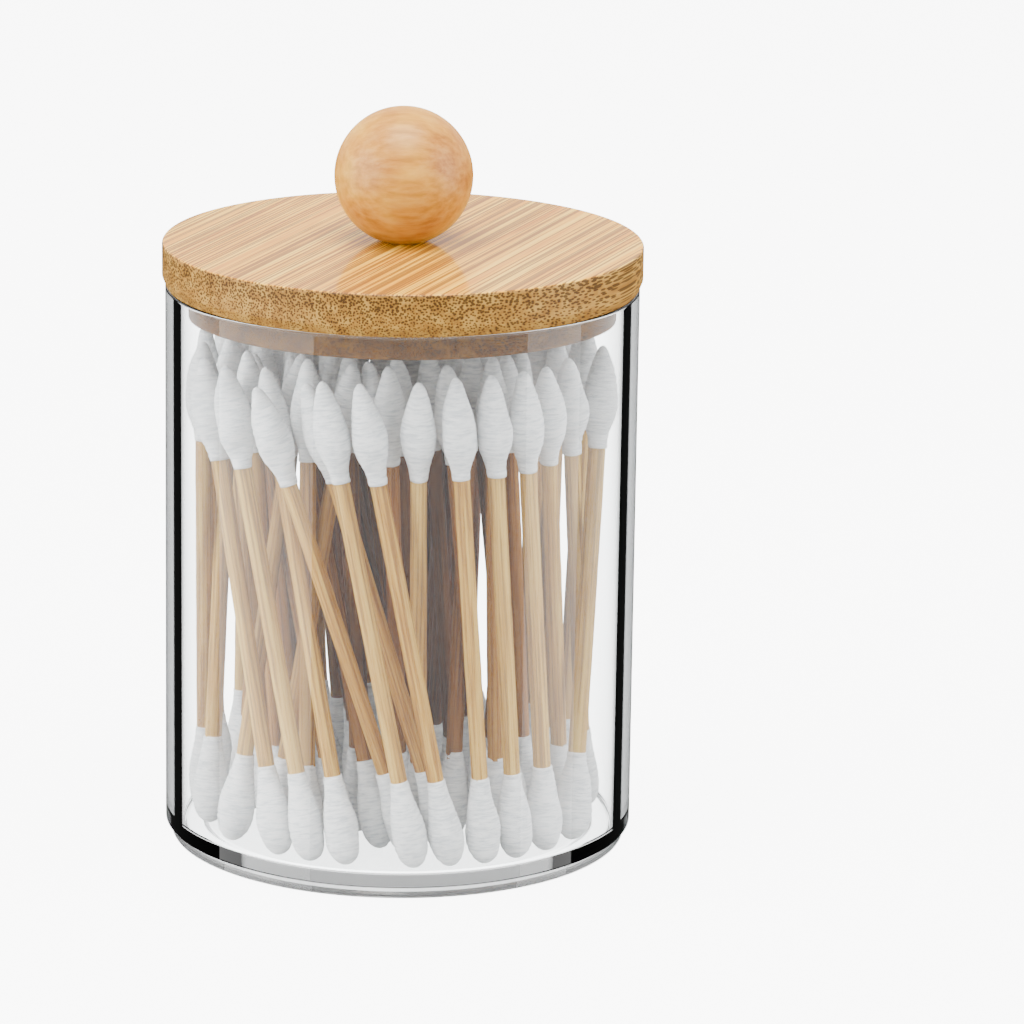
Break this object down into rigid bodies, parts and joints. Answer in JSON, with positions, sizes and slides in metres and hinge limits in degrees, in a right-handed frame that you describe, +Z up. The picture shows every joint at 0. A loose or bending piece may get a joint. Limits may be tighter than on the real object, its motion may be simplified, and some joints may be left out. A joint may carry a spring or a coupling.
{
  "type": "cotton swab holder",
  "caption": "Clear straight-walled acrylic jar filled with double-ended cotton swabs, closed by a round bamboo lid with a wooden ball knob.",
  "frame": {"origin": "middle of the face that the jar stands on", "axes": "+Z up the jar's axis, -Y towards the viewer of the picture"},
  "size_m": [0.075, 0.075, 0.1169],
  "materials": {
    "clear_acrylic": "clear polished acrylic",
    "bamboo": "turned laminated bamboo, satin lacquer",
    "lacquered_wood": "gloss lacquer",
    "steel": "zinc-plated steel",
    "swab": "matt wound cotton on a plain bamboo stick"
  },
  "bodies": {
    "jar": {"jar": "clear_acrylic", "swab_01": "swab", "swab_02": "swab", "swab_03": "swab", "swab_04": "swab", "swab_05": "swab", "swab_06": "swab", "swab_07": "swab", "swab_08": "swab", "swab_09": "swab", "swab_10": "swab", "swab_11": "swab", "swab_12": "swab", "swab_13": "swab", "swab_14": "swab", "swab_15": "swab", "swab_16": "swab", "swab_17": "swab", "swab_18": "swab", "swab_19": "swab", "swab_20": "swab", "swab_21": "swab", "swab_22": "swab", "swab_23": "swab", "swab_24": "swab", "swab_25": "swab", "swab_26": "swab", "swab_27": "swab", "swab_28": "swab", "swab_29": "swab", "swab_30": "swab", "swab_31": "swab", "swab_32": "swab", "swab_33": "swab", "swab_34": "swab", "swab_35": "swab", "swab_36": "swab", "swab_37": "swab", "swab_38": "swab", "swab_39": "swab", "swab_40": "swab", "swab_41": "swab", "swab_42": "swab", "swab_43": "swab", "swab_44": "swab", "swab_45": "swab", "swab_46": "swab", "swab_47": "swab", "swab_48": "swab", "swab_49": "swab", "swab_50": "swab", "swab_51": "swab", "swab_52": "swab", "swab_53": "swab", "swab_54": "swab"},
    "lid": {"lid": "bamboo", "knob": "lacquered_wood", "knob_screw": "steel"}
  },
  "joints": [
    {"name": "lid_lift", "type": "slide", "parent": "jar", "child": "lid", "axis": [0, 0, 1], "range_m": [0, 0.09]}
  ]
}
